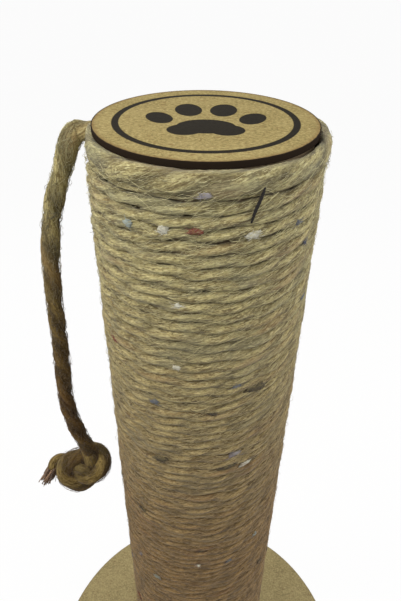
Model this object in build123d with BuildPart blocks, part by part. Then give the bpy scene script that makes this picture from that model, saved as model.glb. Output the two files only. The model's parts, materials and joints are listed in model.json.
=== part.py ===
from build123d import *
import math
import os

import numpy

# A rope-wound cat scratching post with a hanging rope tail, in millimetres.
# The floor is Z = 0, the post's axis is Z, the front is -Y and the tail hangs at -X.

# Overall sizes
total_height = 600.0
disc_diameter = 106.0
disc_thickness = 3.0
core_diameter = 102.0
core_wall = 5.0
base_diameter = 300.0
base_thickness = 16.0
base_edge = 1.5

# Wooden plugs in the ends of the tube
plug_thickness = 28.0
plug_clearance = 0.15

# Rope winding
winding_rope = 5.6
winding_pitch = 6.1
winding_turns = 14
winding_sides = 4
winding_seat = 0.2
sleeve_gap = 0.5

# Top turn and tail, both of the thicker rope
tail_rope_diameter = 8.8
tail_sides = 6
tail_offset = 8.5
wrap_headroom = 1.6
wrap_foot_gap = 1.6
wrap_end_gap = 1.5
rope_seat = 0.3
groove_clearance = 0.2
groove_depth_inwards = 26.0
joint_gap = 0.3
swing_reach = 2.0

# Staples that hold the two ends of the top turn
staple_wire = 1.0
staple_leg = 22.0
staple_clearance = 0.15
staple_spacing = 9.0

# Brads that pin the tube to its plugs
brad_count = 3
brad_length = 16.0
brad_width = 1.2
brad_inset = 20.0
hole_clearance = 0.1

# Bolt, plate washers and nut that hold the post on its base
bolt_diameter = 8.0
bolt_length = 45.0
bolt_head_flats = 13.0
bolt_head_height = 5.3
nut_height = 6.5
bolt_hole = 8.6
washer_side = 30.0
washer_thickness = 2.0
recess_side = 32.0
recess_depth = 8.5

# Rubber pads under the base
pad_side = 30.0
pad_thickness = 6.0
pad_corner = 4.0
pad_circle = 240.0

# Knot at the end of the tail: a two-three torus curve, opened at its outside
knot_ring = 11.0
knot_twist = 5.1
knot_centre = Vector(-90.5, 8.5, -266.0)
knot_lean = 30.0
knot_tilt = 52.6
knot_open = 60.0
knot_steps = 12
knot_end_bend = 8.0

# Heights and radii that follow from the sizes
base_bottom = pad_thickness
base_top = base_bottom + base_thickness
disc_bottom = total_height - disc_thickness
core_radius = core_diameter / 2
bore_radius = core_radius - core_wall
plug_radius = bore_radius - plug_clearance
tail_radius = tail_rope_diameter / 2
wrap_height = disc_bottom - wrap_headroom - tail_radius
wrap_radius = core_radius + rope_seat + tail_radius
winding_radius = core_radius + winding_seat + winding_rope / 2
winding_top = wrap_height - tail_radius - wrap_foot_gap - winding_rope / 2
winding_bottom = winding_top - winding_turns * winding_pitch


def polar(radius, angle, height):
    """The point at a radius and an angle in degrees around the post."""
    turn = math.radians(angle)
    return Vector(radius * math.cos(turn), radius * math.sin(turn), height)


def biarc_joint(start, start_way, end, end_way):
    """The point where two arcs meet that leave start and reach end along unit directions."""
    span = end - start
    along = span.dot(start_way + end_way)
    bend = 2 * (1 - start_way.dot(end_way))
    reach = (math.sqrt(along**2 + bend * span.dot(span)) - along) / bend
    return (start + end + (start_way - end_way) * reach) / 2


def biarcs(points, ways):
    """Draws one smooth line through the points, two arcs from each to the next."""
    for k in range(len(points) - 1):
        joint = biarc_joint(points[k], ways[k], points[k + 1], ways[k + 1])
        first = TangentArc(points[k], joint, tangent=ways[k])
        TangentArc(joint, points[k + 1], tangent=first % 1)


def least_gap(line, thickness):
    """The least gap between two stretches of one tube, measured on points along it."""
    step = 1.5
    spots = []
    for edge in line.edges():
        count = math.ceil(edge.length / step)
        spots += [tuple(edge.position_at(k / count)) for k in range(count)]
    spots = numpy.array(spots)
    apart = int(math.pi * thickness / step) + 1
    nearest = [
        numpy.linalg.norm(spots[k + apart :] - spots[k], axis=1).min()
        for k in range(len(spots) - apart)
    ]
    return float(min(nearest)) - thickness


# Face disc: the round laser-cut lid
with BuildPart() as face_disc:
    with BuildSketch(Plane.XY.offset(disc_bottom)):
        Circle(disc_diameter / 2)
    extrude(amount=disc_thickness)

# Places around the post for the brads and the staples
brad_angles = [60 + 360 / brad_count * k for k in range(brad_count)]


def brad_places(height):
    """Places on the tube's outside, X outwards, one for each brad."""
    return [
        Location(polar(core_radius, angle, height), (0, 0, angle)) for angle in brad_angles
    ]


top_brad_places = brad_places(disc_bottom - brad_inset)
bottom_brad_places = brad_places(base_top + brad_inset)
wrap_butt = tail_radius + wrap_end_gap
rear_end = 180 - math.degrees(math.asin((tail_offset + wrap_butt) / wrap_radius))
front_end = 180 - math.degrees(math.asin((tail_offset - wrap_butt) / wrap_radius))
staple_step = math.degrees(staple_spacing / wrap_radius)
staple_angles = [rear_end - staple_step, front_end + staple_step]
staple_half = tail_radius + staple_clearance + staple_wire / 2
staple_crown = wrap_radius + tail_radius + staple_clearance + staple_wire


def cut_brad_holes(places):
    """Square holes for brads at these places, in the part being built."""
    hole = brad_width + 2 * hole_clearance
    with Locations(*places):
        Box(2 * (brad_length + hole_clearance), hole, hole, mode=Mode.SUBTRACT)


def cut_staple_holes():
    """Square holes for the legs of both staples, in the part being built."""
    hole = staple_wire + 2 * hole_clearance
    length = staple_leg + 2 * hole_clearance
    middle = staple_crown - staple_leg / 2
    places = [
        Location(polar(middle, angle, wrap_height + side * staple_half), (0, 0, angle))
        for angle in staple_angles
        for side in (-1, 1)
    ]
    with Locations(*places):
        Box(length, hole, hole, mode=Mode.SUBTRACT)


def cut_tail_groove():
    """The round-bottomed groove that takes the inner end of the tail."""
    groove = tail_radius + groove_clearance
    with BuildSketch(Plane.YZ.offset(-2 * core_radius)) as groove_section:
        with Locations((tail_offset, wrap_height)):
            Circle(groove)
            Rectangle(2 * groove, 2 * tail_rope_diameter, align=(Align.CENTER, Align.MIN))
    extrude(
        groove_section.sketch,
        amount=2 * core_radius - groove_depth_inwards,
        mode=Mode.SUBTRACT,
    )


# Core tube: thick-walled paper tube, pinned to a plug at each end
with BuildPart() as core_tube:
    with BuildSketch(Plane.XY.offset(base_top)):
        Circle(core_radius)
        Circle(bore_radius, mode=Mode.SUBTRACT)
    extrude(amount=disc_bottom - base_top)
    cut_brad_holes(top_brad_places + bottom_brad_places)
    cut_staple_holes()
    cut_tail_groove()

# Top plug: carries the lid and takes the staples and the tail's inner end
with BuildPart() as top_plug:
    with BuildSketch(Plane.XY.offset(disc_bottom - plug_thickness)):
        Circle(plug_radius)
    extrude(amount=plug_thickness)
    cut_brad_holes(top_brad_places)
    cut_staple_holes()
    cut_tail_groove()

# Bottom plug: takes the bolt that comes up through the base
with BuildPart() as bottom_plug:
    with BuildSketch(Plane.XY.offset(base_top)):
        Circle(plug_radius)
        Circle(bolt_hole / 2, mode=Mode.SUBTRACT)
    extrude(amount=plug_thickness)
    cut_brad_holes(bottom_brad_places)

# Brads: one ring of them through the tube into each plug
with BuildPart() as top_plug_brads:
    with Locations(*top_brad_places):
        Box(brad_length, brad_width, brad_width, align=(Align.MAX, Align.CENTER, Align.CENTER))

with BuildPart() as bottom_plug_brads:
    with Locations(*bottom_brad_places):
        Box(brad_length, brad_width, brad_width, align=(Align.MAX, Align.CENTER, Align.CENTER))

# Base board: round board with the bolt hole and a square recess under it
with BuildPart() as base_board:
    with BuildSketch(Plane.XY.offset(base_bottom)):
        Circle(base_diameter / 2)
    extrude(amount=base_thickness)
    chamfer(base_board.edges().filter_by(GeomType.CIRCLE).sort_by(Axis.Z)[-1], base_edge)
    with BuildSketch(Plane.XY.offset(base_bottom)):
        Rectangle(recess_side, recess_side)
    extrude(amount=recess_depth, mode=Mode.SUBTRACT)
    with BuildSketch(Plane.XY.offset(base_bottom)):
        Circle(bolt_hole / 2)
    extrude(amount=base_thickness, mode=Mode.SUBTRACT)

# Plate washers: one under the bolt's head, one under the nut inside the tube
washer_bottom = base_bottom + recess_depth - washer_thickness
plug_top = base_top + plug_thickness


def plate_washer(height):
    """A square plate with a hole for the bolt, from a height upwards."""
    with BuildPart() as washer:
        with BuildSketch(Plane.XY.offset(height)):
            Rectangle(washer_side, washer_side)
            Circle(bolt_diameter / 2 + hole_clearance, mode=Mode.SUBTRACT)
        extrude(amount=washer_thickness)
    return washer


base_washer = plate_washer(washer_bottom)
plug_washer = plate_washer(plug_top)

# Bolt up through the base and the bottom plug, and its nut
with BuildPart() as base_bolt:
    with BuildSketch(Plane.XY.offset(washer_bottom)):
        RegularPolygon(bolt_head_flats / 2, 6, major_radius=False)
    extrude(amount=-bolt_head_height)
    with BuildSketch(Plane.XY.offset(washer_bottom)):
        Circle(bolt_diameter / 2)
    extrude(amount=bolt_length)

with BuildPart() as base_nut:
    with BuildSketch(Plane.XY.offset(plug_top + washer_thickness)):
        RegularPolygon(bolt_head_flats / 2, 6, major_radius=False)
        Circle(bolt_diameter / 2 + hole_clearance, mode=Mode.SUBTRACT)
    extrude(amount=nut_height)

# Rubber pads: four under the base board
pad_places = PolarLocations(pad_circle / 2, 4, start_angle=45)
pads = []
for place in pad_places:
    with BuildPart() as pad:
        with BuildSketch(Plane(place)):
            RectangleRounded(pad_side, pad_side, pad_corner)
        extrude(amount=pad_thickness)
    pads.append(pad)

# Winding: the upper turns of the rope as one tube, over the plain lower sleeve
winding_start = rear_end - 180


def winding_point(turns):
    """A point of the wound rope's middle, a number of turns from its upper end."""
    return polar(
        winding_radius, winding_start - 360 * turns, winding_top - turns * winding_pitch
    )


def winding_way(turns):
    """The unit direction of the wound rope there."""
    level = polar(1, winding_start - 360 * turns - 90, 0)
    slope = winding_pitch / (2 * math.pi * winding_radius)
    return (level - Vector(0, 0, slope)).normalized()


with BuildPart() as rope_winding:
    with BuildLine() as winding_line:
        spots = [winding_point(k / 2) for k in range(2 * winding_turns + 1)]
        headings = [winding_way(k / 2) for k in range(2 * winding_turns + 1)]
        Line(spots[0] - headings[0] * winding_rope, spots[0])
        biarcs(spots, headings)
        Line(spots[-1], spots[-1] + headings[-1] * winding_rope)
    winding_section = Plane(
        origin=spots[0] - headings[0] * winding_rope,
        x_dir=polar(1, winding_start, 0),
        z_dir=headings[0],
    )
    with BuildSketch(winding_section):
        RegularPolygon(winding_rope / 2, winding_sides)
    sweep(path=winding_line.wires()[0])
    sleeve_top = winding_bottom - winding_rope - sleeve_gap
    with BuildSketch(Plane.XY.offset(base_top + sleeve_gap)):
        Circle(winding_radius + winding_rope / 2)
        Circle(core_radius + winding_seat, mode=Mode.SUBTRACT)
    extrude(amount=sleeve_top - base_top - sleeve_gap)
print("winding gap", round(least_gap(winding_line.wires()[0], winding_rope), 2))

# Top turn: one open turn of the thicker rope close under the lid
with BuildPart() as top_wrap:
    with BuildLine(Plane.XY.offset(wrap_height)) as wrap_line:
        CenterArc((0, 0), wrap_radius, front_end, 360 - front_end + rear_end)
    wrap_section = Plane(origin=wrap_line.line @ 0, z_dir=wrap_line.line % 0)
    with BuildSketch(wrap_section):
        RegularPolygon(tail_radius, tail_sides)
    sweep(path=wrap_line.wires()[0])

# Staples over the two ends of the top turn
with BuildPart() as wrap_staples:
    for angle in staple_angles:
        radial = polar(1, angle, 0)
        face = Plane(
            origin=Vector(0, 0, wrap_height), x_dir=radial, z_dir=polar(1, angle - 90, 0)
        )
        with BuildSketch(face):
            with Locations((staple_crown, 0)):
                Rectangle(
                    staple_leg,
                    2 * staple_half + staple_wire,
                    align=(Align.MAX, Align.CENTER),
                )
            with Locations((staple_crown - staple_wire, 0)):
                Rectangle(
                    staple_leg,
                    2 * staple_half - staple_wire,
                    align=(Align.MAX, Align.CENTER),
                    mode=Mode.SUBTRACT,
                )
        extrude(amount=staple_wire / 2, both=True)

# Tail root: the tail's inner end, glued in its groove under the lid
root_end = -(wrap_radius + tail_radius + rope_seat)
with BuildPart() as tail_root:
    with BuildSketch(Plane.YZ.offset(-groove_depth_inwards - rope_seat)):
        with Locations((tail_offset, wrap_height)):
            RegularPolygon(tail_radius, tail_sides)
    extrude(amount=root_end + groove_depth_inwards + rope_seat)

# Tail bend: the short stretch that twists sideways, with a round end for the tail to lift about
swing_point = Vector(root_end - joint_gap - swing_reach, tail_offset, wrap_height)
dome_angles = [0, 30, 60]
with BuildPart() as tail_bend:
    with BuildSketch(Plane.YZ.offset(swing_point.X)):
        with Locations((tail_offset, wrap_height)):
            RegularPolygon(tail_radius, tail_sides)
    extrude(amount=swing_reach)
    for angle in dome_angles:
        level = tail_radius * math.sin(math.radians(angle))
        with BuildSketch(Plane.YZ.offset(swing_point.X - level)):
            with Locations((tail_offset, wrap_height)):
                RegularPolygon(tail_radius * math.cos(math.radians(angle)), tail_sides)
    loft(ruled=True)

# Tail rope: the points of its route as (X, Y, distance below the lid's face), by hand
tail_route = [
    (-71.5, 8.2, 26.0),
    (-80.0, 8.6, 46.0),
    (-86.5, 9.0, 74.0),
    (-89.5, 8.6, 110.0),
    (-90.5, 8.2, 148.0),
    (-93.8, 8.0, 188.0),
    (-93.4, 8.6, 210.0),
    (-89.5, 9.8, 233.0),
]
tail_points = [Vector(x, y, total_height - below) for x, y, below in tail_route]
tail_start_way = (tail_points[0] - swing_point).normalized()
tail_start = swing_point + tail_start_way * (tail_radius + joint_gap)
tail_route_line = [tail_start] + tail_points


def corner_radii(points):
    """The largest arc for each corner of a route, from its two runs and its turn."""
    radii = []
    for k in range(1, len(points) - 1):
        before = points[k] - points[k - 1]
        after = points[k + 1] - points[k]
        half_turn = math.radians(before.get_angle(after) / 2)
        radii.append(0.45 * min(before.length, after.length) / math.tan(half_turn))
    return radii


tail_radii = corner_radii(tail_route_line)
print("tail radii", [round(radius) for radius in tail_radii])

# Knot in the tail: a simple overhand knot, led in from the tail and out to the cut end
lean = math.radians(knot_lean)
tilt = math.radians(knot_tilt)
image_up = Vector(0, math.sin(tilt), math.cos(tilt))
image_right = Vector(1, 0, 0)
knot_up = image_up * math.cos(lean) - image_right * math.sin(lean)
knot_across = image_right * math.cos(lean) + image_up * math.sin(lean)
knot_out = Vector(0, -math.cos(tilt), math.sin(tilt))
knot_middle = knot_centre + Vector(0, 0, total_height)


def knot_local(up, across, out):
    """A vector given along the knot's own three directions."""
    return knot_up * up + knot_across * across + knot_out * out


def knot_point(angle):
    """A point of the torus curve that goes twice round while it turns three times."""
    turn = math.radians(angle)
    radius = knot_ring + knot_twist * math.cos(1.5 * turn)
    return knot_middle + knot_local(
        radius * math.cos(turn), radius * math.sin(turn), knot_twist * math.sin(1.5 * turn)
    )


def knot_way(angle):
    """The unit direction of the curve there."""
    step = 0.01
    return (knot_point(angle + step) - knot_point(angle - step)).normalized()


knot_sweep = 720 - 2 * knot_open
knot_angles = [knot_open + knot_sweep * k / knot_steps for k in range(knot_steps + 1)]
knot_spots = [knot_point(angle) for angle in knot_angles]
knot_ways = [knot_way(angle) for angle in knot_angles]
end_bend = knot_spots[-1] + knot_local(knot_end_bend, -knot_end_bend, 0)
end_tip = end_bend + knot_local(-0.8 * knot_end_bend, -0.9 * knot_end_bend, 0)
tail_end = tail_points[-1]
tail_end_way = (tail_points[-1] - tail_points[-2]).normalized()
with BuildPart() as tail_rope:
    with BuildLine() as tail_line:
        FilletPolyline(*tail_route_line, radius=tail_radii)
        biarcs(
            [tail_end, *knot_spots, end_bend, end_tip],
            [tail_end_way, *knot_ways, knot_local(0, -1, 0), knot_local(-1, 0, 0)],
        )
    tail_wire = tail_line.wires()[0]
    with BuildSketch(Plane(origin=tail_start, z_dir=tail_start_way)) as tail_section:
        RegularPolygon(tail_radius, tail_sides)
    sweep(path=tail_wire)
print(
    "tail volume over section times length",
    round(tail_rope.part.volume / (tail_section.sketch.area * tail_wire.length), 4),
)
print("tail gap", round(least_gap(tail_wire, tail_rope_diameter), 2))
print("tail length", round(tail_wire.length))

# Labels and files
pieces = {
    "face_disc": face_disc,
    "top_plug": top_plug,
    "core_tube": core_tube,
    "bottom_plug": bottom_plug,
    "top_plug_brads": top_plug_brads,
    "bottom_plug_brads": bottom_plug_brads,
    "base_board": base_board,
    "base_washer": base_washer,
    "base_bolt": base_bolt,
    "plug_washer": plug_washer,
    "base_nut": base_nut,
    "rope_winding": rope_winding,
    "top_wrap": top_wrap,
    "wrap_staples": wrap_staples,
    "tail_root": tail_root,
    "tail_bend": tail_bend,
    "tail_rope": tail_rope,
}
for number, pad in enumerate(pads, start=1):
    pieces[f"base_pad_{number}"] = pad

os.makedirs("parts", exist_ok=True)
for label, piece in pieces.items():
    piece.part.label = label
    export_step(piece.part, f"parts/{label}.step")
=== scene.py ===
"""A rope-wound cat scratching post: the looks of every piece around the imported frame."""

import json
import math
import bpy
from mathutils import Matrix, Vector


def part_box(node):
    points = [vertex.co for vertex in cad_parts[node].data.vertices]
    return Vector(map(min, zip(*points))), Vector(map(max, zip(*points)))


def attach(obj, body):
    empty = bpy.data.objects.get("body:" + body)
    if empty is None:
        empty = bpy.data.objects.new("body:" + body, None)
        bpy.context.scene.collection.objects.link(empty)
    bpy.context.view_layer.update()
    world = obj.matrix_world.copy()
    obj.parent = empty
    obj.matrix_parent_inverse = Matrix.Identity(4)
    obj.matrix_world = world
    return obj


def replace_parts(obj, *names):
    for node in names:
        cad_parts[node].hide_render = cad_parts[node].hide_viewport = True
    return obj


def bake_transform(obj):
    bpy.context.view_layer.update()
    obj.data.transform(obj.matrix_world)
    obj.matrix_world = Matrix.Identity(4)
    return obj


bl_info = {
    "name": "Rope-wound scratching post",
    "version": (1, 0, 0),
    "blender": (4, 5, 0),
    "location": "3D View > Sidebar > Scratching Post",
    "description": "Dresses the frame of a scratching post with rope, board and fittings",
    "category": "Object",
}

from functools import cache
from itertools import accumulate

import bpy
import numpy as np
from mathutils import Matrix, Vector

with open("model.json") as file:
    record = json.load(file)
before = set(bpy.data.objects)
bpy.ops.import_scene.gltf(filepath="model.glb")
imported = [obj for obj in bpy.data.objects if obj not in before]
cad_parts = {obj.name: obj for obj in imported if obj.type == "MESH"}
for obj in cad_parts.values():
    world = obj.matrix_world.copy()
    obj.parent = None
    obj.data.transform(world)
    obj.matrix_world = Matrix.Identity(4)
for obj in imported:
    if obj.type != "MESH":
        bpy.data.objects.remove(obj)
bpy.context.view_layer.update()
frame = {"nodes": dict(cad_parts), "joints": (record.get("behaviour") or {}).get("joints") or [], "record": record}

# Places and sizes read from the frame, in metres
LID_LOW, LID_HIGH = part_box("face_disc")
WINDING_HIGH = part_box("rope_winding")[1]
CORE_LOW, CORE_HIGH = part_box("core_tube")
BASE_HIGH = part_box("base_board")[1]
ROOT_LOW, ROOT_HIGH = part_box("tail_root")
LID_RADIUS = (LID_HIGH.x - LID_LOW.x) / 2
CORE_RADIUS = (CORE_HIGH.x - CORE_LOW.x) / 2
SWING = Vector(next(j for j in frame["joints"] if j["name"] == "tail_lift")["pos_m"])
WRAP_HEIGHT = SWING.z
TAIL_RADIUS = (ROOT_HIGH.y - ROOT_LOW.y) / 2
WRAP_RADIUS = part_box("top_wrap")[1].x - TAIL_RADIUS

# Gaps from the soft rope to the tube inside it and to the lid above it
TUBE_GAP = 0.0002
LID_GAP = 0.0001

# The tail's route, as in the solid: X, Y and the distance below the lid's face
TAIL_ROUTE = [
    (-0.0715, 0.0082, 0.026),
    (-0.0800, 0.0086, 0.046),
    (-0.0865, 0.0090, 0.074),
    (-0.0895, 0.0086, 0.110),
    (-0.0905, 0.0082, 0.148),
    (-0.0938, 0.0080, 0.188),
    (-0.0934, 0.0086, 0.210),
    (-0.0895, 0.0098, 0.233),
]

# Coloured tufts seen in the winding: angle from the front towards the right, distance below
# the lid's face, width, height, and colour name
TUFTS = [
    (-35.2, 0.0297, 0.0048, 0.0042, "pale_blue"),
    (-17.6, 0.0287, 0.0042, 0.0052, "white"),
    (-3.7, 0.0280, 0.0058, 0.0026, "red"),
    (21.3, 0.0313, 0.0068, 0.0034, "white"),
    (45.6, 0.0317, 0.0036, 0.0026, "grey_blue"),
    (54.4, 0.0447, 0.0036, 0.0026, "dark_blue"),
    (0.0, 0.0123, 0.0060, 0.0030, "lilac"),
    (-11.5, 0.0667, 0.0040, 0.0024, "white"),
    (61.6, 0.0808, 0.0040, 0.0024, "grey_blue"),
    (-12.8, 0.1047, 0.0046, 0.0026, "white"),
    (-54.4, 0.1053, 0.0034, 0.0024, "red"),
    (18.1, 0.1180, 0.0044, 0.0024, "grey_blue"),
    (30.4, 0.1242, 0.0130, 0.0050, "dark"),
    (-26.4, 0.1338, 0.0050, 0.0026, "grey_blue"),
    (6.4, 0.1367, 0.0042, 0.0020, "dark"),
    (20.0, 0.1733, 0.0080, 0.0040, "lilac"),
    (-24.5, 0.1808, 0.0100, 0.0044, "dark"),
    (15.2, 0.1833, 0.0110, 0.0026, "dark"),
    (27.2, 0.1853, 0.0080, 0.0022, "white"),
]


def length_setting(name, description, default):
    """A length property, in metres."""
    return bpy.props.FloatProperty(
        name=name, description=description, default=default, unit="LENGTH", min=0
    )


class SizeSettings(bpy.types.PropertyGroup):
    """Sizes that a user would change."""

    winding_pitch: length_setting(
        "Winding pitch", "Height that one turn of the wound rope takes", 0.0061
    )
    winding_rope: length_setting("Winding rope", "Diameter of the wound rope", 0.0066)
    winding_lay: length_setting(
        "Winding lay", "Length of wound rope in which its strands go round once", 0.046
    )
    tail_lay: length_setting(
        "Tail lay", "Length of tail in which its strands go round once", 0.052
    )
    fuzz_hairs: bpy.props.IntProperty(
        name="Loose fibres",
        description="Number of loose fibres matted over the winding",
        default=42000,
    )


def colour_setting(name, description, default):
    """A colour property with a picker."""
    return bpy.props.FloatVectorProperty(
        name=name, description=description, default=default, subtype="COLOR", min=0, max=1
    )


class ColourSettings(bpy.types.PropertyGroup):
    """Colours that a user would change, as linear values."""

    # Highlight is the painted highlight in the rope's pale flecks and glints, and the real colour of pale loose
    # fibres.
    highlight: colour_setting("Highlight", "Single pale fibres", (0.76, 0.70, 0.38))
    straw: colour_setting("Straw", "Light fibres of the rope", (0.53, 0.465, 0.215))
    jute: colour_setting("Jute", "Middle tone of the rope", (0.31, 0.255, 0.107))
    earth: colour_setting("Earth", "Darkest fibres of the rope", (0.095, 0.068, 0.024))
    board: colour_setting("Board", "Bare fibreboard", (0.375, 0.295, 0.120))
    scorch: colour_setting("Scorch", "Burnt edge of the lid", (0.018, 0.012, 0.008))
    print: colour_setting("Print", "Charcoal print on the lid", (0.009, 0.008, 0.008))


# The ring and the ovals of the paw on the lid, in millimetres from its middle: the ring's
# radii, and each oval's centre, half sizes and turn in degrees
RING = (40.45, 43.75)
PAW = [
    ((0, -9.5), (13.5, 10.0), 0),
    ((-9.5, -14.5), (8.0, 7.5), 0),
    ((9.5, -14.5), (8.0, 7.5), 0),
    ((-22.0, 2.5), (6.0, 9.0), 24),
    ((22.0, 2.5), (6.0, 9.0), -24),
    ((-8.6, 15.5), (6.6, 10.2), 7),
    ((8.6, 15.5), (6.6, 10.2), -7),
]

TUFT_COLOURS = {
    "white": (0.62, 0.61, 0.52),
    "pale_blue": (0.33, 0.39, 0.38),
    "grey_blue": (0.13, 0.15, 0.19),
    "dark_blue": (0.04, 0.05, 0.10),
    "lilac": (0.30, 0.28, 0.31),
    "red": (0.19, 0.035, 0.024),
    "dark": (0.045, 0.032, 0.022),
}


# Shader maths


class Socket:
    """One output socket, with operators that add Math nodes for it."""

    def __init__(self, graph, socket):
        self.graph = graph
        self.socket = socket

    def _math(self, operation, *values):
        """The result of one Math node on these values."""
        return self.graph.node("ShaderNodeMath", {"operation": operation}, values)

    def __add__(self, other):
        return self._math("ADD", self, other)

    def __sub__(self, other):
        return self._math("SUBTRACT", self, other)

    def __rsub__(self, other):
        return self._math("SUBTRACT", other, self)

    def __mul__(self, other):
        return self._math("MULTIPLY", self, other)

    def __truediv__(self, other):
        return self._math("DIVIDE", self, other)

    def __pow__(self, other):
        return self._math("POWER", self, other)

    __radd__ = __add__
    __rmul__ = __mul__


class Graph:
    """A material's node tree, built by expressions."""

    def __init__(self, name):
        self.material = bpy.data.materials.new(name)
        self.material.use_nodes = True
        self.tree = self.material.node_tree
        self.tree.nodes.clear()

    def node(self, kind, settings=None, values=(), output=0):
        """Adds a node, sets its settings, then its input sockets by place or by name."""
        made = self.tree.nodes.new(kind)
        for key, value in (settings or {}).items():
            setattr(made, key, value)
        pairs = values.items() if isinstance(values, dict) else enumerate(values)
        for key, value in pairs:
            if isinstance(value, Socket):
                self.tree.links.new(value.socket, made.inputs[key])
            elif value is not None:
                made.inputs[key].default_value = value
        return Socket(self, made.outputs[output])

    def coordinates(self):
        """Object coordinates, in metres."""
        return self.node("ShaderNodeTexCoord", output="Object")

    def attribute(self, name, output="Vector"):
        """A mesh attribute of the piece."""
        return self.node("ShaderNodeAttribute", {"attribute_name": name}, output=output)

    def scaled(self, vector, factors):
        """The vector with each of its parts multiplied."""
        return self.node("ShaderNodeVectorMath", {"operation": "MULTIPLY"}, (vector, factors))

    def noise(self, vector, factors, detail=2.0, roughness=0.5):
        """Noise from 0 to 1, about 0.5, over the vector with each of its parts multiplied."""
        values = {"Vector": self.scaled(vector, factors), "Scale": 1.0}
        values |= {"Detail": detail, "Roughness": roughness}
        return self.node("ShaderNodeTexNoise", {}, values)

    def step(self, value, low, high):
        """A smooth step from 0 at low to 1 at high."""
        settings = {"interpolation_type": "SMOOTHSTEP"}
        return self.node("ShaderNodeMapRange", settings, (value, low, high, 0.0, 1.0))

    def mix(self, factor, first, second):
        """The first colour at factor 0, the second at 1."""
        values = {0: factor, 6: self._colour(first), 7: self._colour(second)}
        return self.node("ShaderNodeMix", {"data_type": "RGBA"}, values, output=2)

    @staticmethod
    def _colour(value):
        """A socket as it is, or three numbers with their alpha."""
        return value if isinstance(value, Socket) else (*value, 1)

    def bump(self, height, distance, strength=1.0):
        """A normal from a height, with the distance in metres."""
        values = {"Strength": strength, "Distance": distance, "Height": height}
        return self.node("ShaderNodeBump", {}, values)

    def finish(self, **values):
        """The Principled shader with these sockets, as the material's surface."""
        named = {key.replace("_", " "): value for key, value in values.items()}
        shader = self.node("ShaderNodeBsdfPrincipled", {}, named)
        self.surface(shader)
        return self.material

    def surface(self, shader):
        """Links a shader to the material's output."""
        output = self.tree.nodes.new("ShaderNodeOutputMaterial")
        self.tree.links.new(shader.socket, output.inputs["Surface"])


def colours():
    """The colours set in the panel."""
    return bpy.context.scene.post_colours


def sizes():
    """The sizes set in the panel."""
    return bpy.context.scene.post_sizes


# Materials


# Heights between which painted shade turns the rope darker and browner towards the foot, in metres
UNSHADED_ABOVE = 0.61
FULLY_SHADED_BELOW = 0.29


def shade_towards_foot(graph, shade):
    """The colour as it is near the lid, and with painted shade, darker and browner, towards the foot of the post.
    """
    height = graph.node("ShaderNodeSeparateXYZ", {}, (graph.coordinates(),), output="Z")
    brown = graph.scaled(shade, (0.60, 0.43, 0.35))
    return graph.mix(graph.step(height, UNSHADED_ABOVE, FULLY_SHADED_BELOW), shade, brown)


@cache
def rope_material(name, tail=False):
    """Soft plant-fibre rope: streaks along the fibres, patches of tone, painted highlights on
    pale flecks and glints, and painted shade in the grooves.

    A tail also gets painted shade: darker and browner along its first fourteen centimetres,
    and paler again in its knot, where most of that shade is lifted.
    """
    graph = Graph(name)
    fibre = graph.attribute("fibre")
    crest = graph.attribute("crest", "Fac")
    place = graph.coordinates()
    streak = graph.noise(fibre, (260, 1500, 1500), detail=4, roughness=0.7)
    strand = graph.noise(fibre, (110, 520, 520), detail=3)
    speck = graph.noise(place, (800, 800, 1500), detail=2)
    glint = graph.noise(fibre, (380, 1900, 1900), detail=1)
    patch = graph.noise(place, (45, 45, 90), detail=2)
    tone = graph.noise(fibre, (18, 60, 60), detail=1)
    light = graph.step(streak * 0.5 + strand * 0.3 + speck * 0.2, 0.43, 0.58)
    shade = graph.mix(light, colours().jute, colours().straw)
    shade = graph.mix(graph.step(strand, 0.5, 0.33) * 0.7, shade, colours().earth)
    # Pale flecks and glints in the highlight colour are painted highlights on single fibres; the dark flecks in
    # the earth colour are the rope's own tone.
    shade = graph.mix(graph.step(speck, 0.6, 0.72) * 0.5, shade, colours().highlight)
    shade = graph.mix(graph.step(speck, 0.42, 0.3) * 0.6, shade, colours().earth)
    shade = graph.mix(graph.step(glint, 0.57, 0.66) * 0.6, shade, colours().highlight)
    shade = graph.mix(graph.step(glint, 0.43, 0.34) * 0.5, shade, colours().earth)
    shade = graph.mix(graph.step(patch, 0.5, 0.72) * 0.45, shade, (0.27, 0.27, 0.17))
    shade = graph.mix(graph.step(tone, 0.5, 0.75) * 0.4, shade, (0.30, 0.18, 0.08))
    # Painted shade in the grooves between the strands, where the crest is low.
    groove = 1 - crest
    shade = graph.mix(groove * 0.6, shade, tuple(0.4 * c for c in colours().earth))
    if tail:
        # Painted shade along the tail: darker and browner over its first fourteen centimetres, and mostly lifted
        # again in the knot.
        run = graph.node("ShaderNodeSeparateXYZ", {}, (fibre,), output="X")
        run_shade = graph.step(run, 0.01, 0.14) * 0.72
        shade = graph.mix(run_shade + 0.08, shade, graph.scaled(shade, (0.42, 0.29, 0.10)))
        knot = graph.step(run, 0.22, 0.27)
        shade = graph.mix(knot, shade, graph.scaled(shade, (1.6, 2.15, 2.8)))
    # Painted shade: darker and browner towards the foot of the post.
    shade = shade_towards_foot(graph, shade)
    height = streak * 0.4 + strand * 0.2 + speck * 0.2 + glint * 0.3
    return graph.finish(
        Base_Color=shade,
        Roughness=0.8,
        Specular_IOR_Level=0.18 if tail else 0.35,
        Sheen_Weight=0.05 if tail else 0.15,
        Sheen_Roughness=0.5,
        Normal=graph.bump(height, 0.0016),
    )


@cache
def fibre_material():
    """Single loose fibres, pale and a little shiny, with the colour kept on each."""
    graph = Graph("loose_fibre")
    # Painted shade: the fibres too turn darker and browner towards the foot of the post.
    shade = shade_towards_foot(graph, graph.attribute("tint", "Color"))
    return graph.finish(Base_Color=shade, Roughness=0.6, Sheen_Weight=0.2)


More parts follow.
